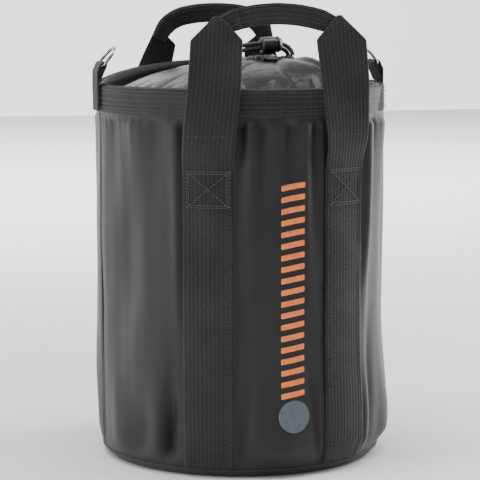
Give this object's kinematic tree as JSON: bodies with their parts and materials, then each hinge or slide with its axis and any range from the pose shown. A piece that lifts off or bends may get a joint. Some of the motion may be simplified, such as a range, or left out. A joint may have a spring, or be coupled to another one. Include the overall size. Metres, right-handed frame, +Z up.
{
  "type": "rope storage bag",
  "caption": "Upright round fabric bag with webbing handles, sewn straps, a drawcord collar with a cord lock, and side D-rings.",
  "frame": {"origin": "centre of the base, on the surface that the bag stands on", "axes": "+Z up through the mouth, front towards -Y, +X to the right seen from the front"},
  "size_m": [0.31, 0.3002, 0.4639],
  "materials": {
    "coated_fabric": "coated polyester, fine weave, slight sheen",
    "base_fabric": "coated polyester, matt",
    "seam_tape": "narrow woven tape",
    "webbing": "herringbone polyester webbing, matt",
    "rim_facing": "smooth coated band",
    "thin_nylon": "thin shiny nylon",
    "cord": "braided cord",
    "lock_plastic": "satin black moulding",
    "spring_steel": "bright wire",
    "nickel_steel": "nickel-plated wire"
  },
  "bodies": {
    "bag": {"base_panel": "base_fabric", "base_seam_binding": "seam_tape", "front_panel": "coated_fabric", "rear_panel": "coated_fabric", "left_seam_binding": "seam_tape", "right_seam_binding": "seam_tape", "rim_band": "webbing", "rim_facing": "rim_facing", "front_left_strap": "webbing", "front_right_strap": "webbing", "rear_left_strap": "webbing", "rear_right_strap": "webbing", "collar": "thin_nylon", "collar_hem": "thin_nylon", "hem_cord": "cord", "upper_cord_tail": "cord", "lower_cord_tail": "cord", "cord_knot": "cord", "left_tab_base": "webbing", "right_tab_base": "webbing"},
    "front_handle_legs": {"front_left_leg": "webbing", "front_right_leg": "webbing"},
    "front_handle": {"front_handle_top": "webbing"},
    "rear_handle_legs": {"rear_left_leg": "webbing", "rear_right_leg": "webbing"},
    "rear_handle": {"rear_handle_top": "webbing"},
    "cord_lock": {"lock_barrel": "lock_plastic", "lock_spring": "spring_steel"},
    "lock_button": {"lock_plunger": "lock_plastic"},
    "left_tab": {"left_tab_loop": "webbing"},
    "left_ring": {"left_d_ring": "nickel_steel"},
    "right_tab": {"right_tab_loop": "webbing"},
    "right_ring": {"right_d_ring": "nickel_steel"}
  },
  "joints": [
    {"name": "front_handle_swing", "type": "hinge", "parent": "bag", "child": "front_handle_legs", "pos_m": [0, -0.1475, 0.308], "axis": [1, 0, 0], "range_deg": [0, 160]},
    {"name": "front_handle_fold", "type": "hinge", "parent": "front_handle_legs", "child": "front_handle", "pos_m": [0, -0.1419, 0.388], "axis": [-1, 0, 0], "range_deg": [0, 50]},
    {"name": "rear_handle_swing", "type": "hinge", "parent": "bag", "child": "rear_handle_legs", "pos_m": [0, 0.1475, 0.308], "axis": [-1, 0, 0], "range_deg": [0, 160]},
    {"name": "rear_handle_fold", "type": "hinge", "parent": "rear_handle_legs", "child": "rear_handle", "pos_m": [0, 0.1419, 0.404], "axis": [1, 0, 0], "range_deg": [0, 50]},
    {"name": "lock_slide", "type": "slide", "parent": "bag", "child": "cord_lock", "axis": [-0.9951, -0.0697, -0.0697], "range_m": [0, 0.01]},
    {"name": "lock_press", "type": "slide", "parent": "cord_lock", "child": "lock_button", "axis": [-0.9951, -0.0697, -0.0697], "range_m": [0, 0.003], "stiffness_N_per_m": 1500, "springref_m": -0.002, "deforming": ["lock_spring"]},
    {"name": "right_tab_swing", "type": "hinge", "parent": "bag", "child": "right_tab", "pos_m": [0.152, 0, 0.388], "axis": [0, 1, 0], "range_deg": [-10, 140]},
    {"name": "right_ring_swing", "type": "hinge", "parent": "right_tab", "child": "right_ring", "pos_m": [0.14575, 0, 0.40141], "axis": [0, 1, 0], "range_deg": [-50, 90]},
    {"name": "left_tab_swing", "type": "hinge", "parent": "bag", "child": "left_tab", "pos_m": [-0.152, 0, 0.388], "axis": [0, -1, 0], "range_deg": [-10, 140]},
    {"name": "left_ring_swing", "type": "hinge", "parent": "left_tab", "child": "left_ring", "pos_m": [-0.14575, 0, 0.40141], "axis": [0, -1, 0], "range_deg": [-50, 90]}
  ]
}
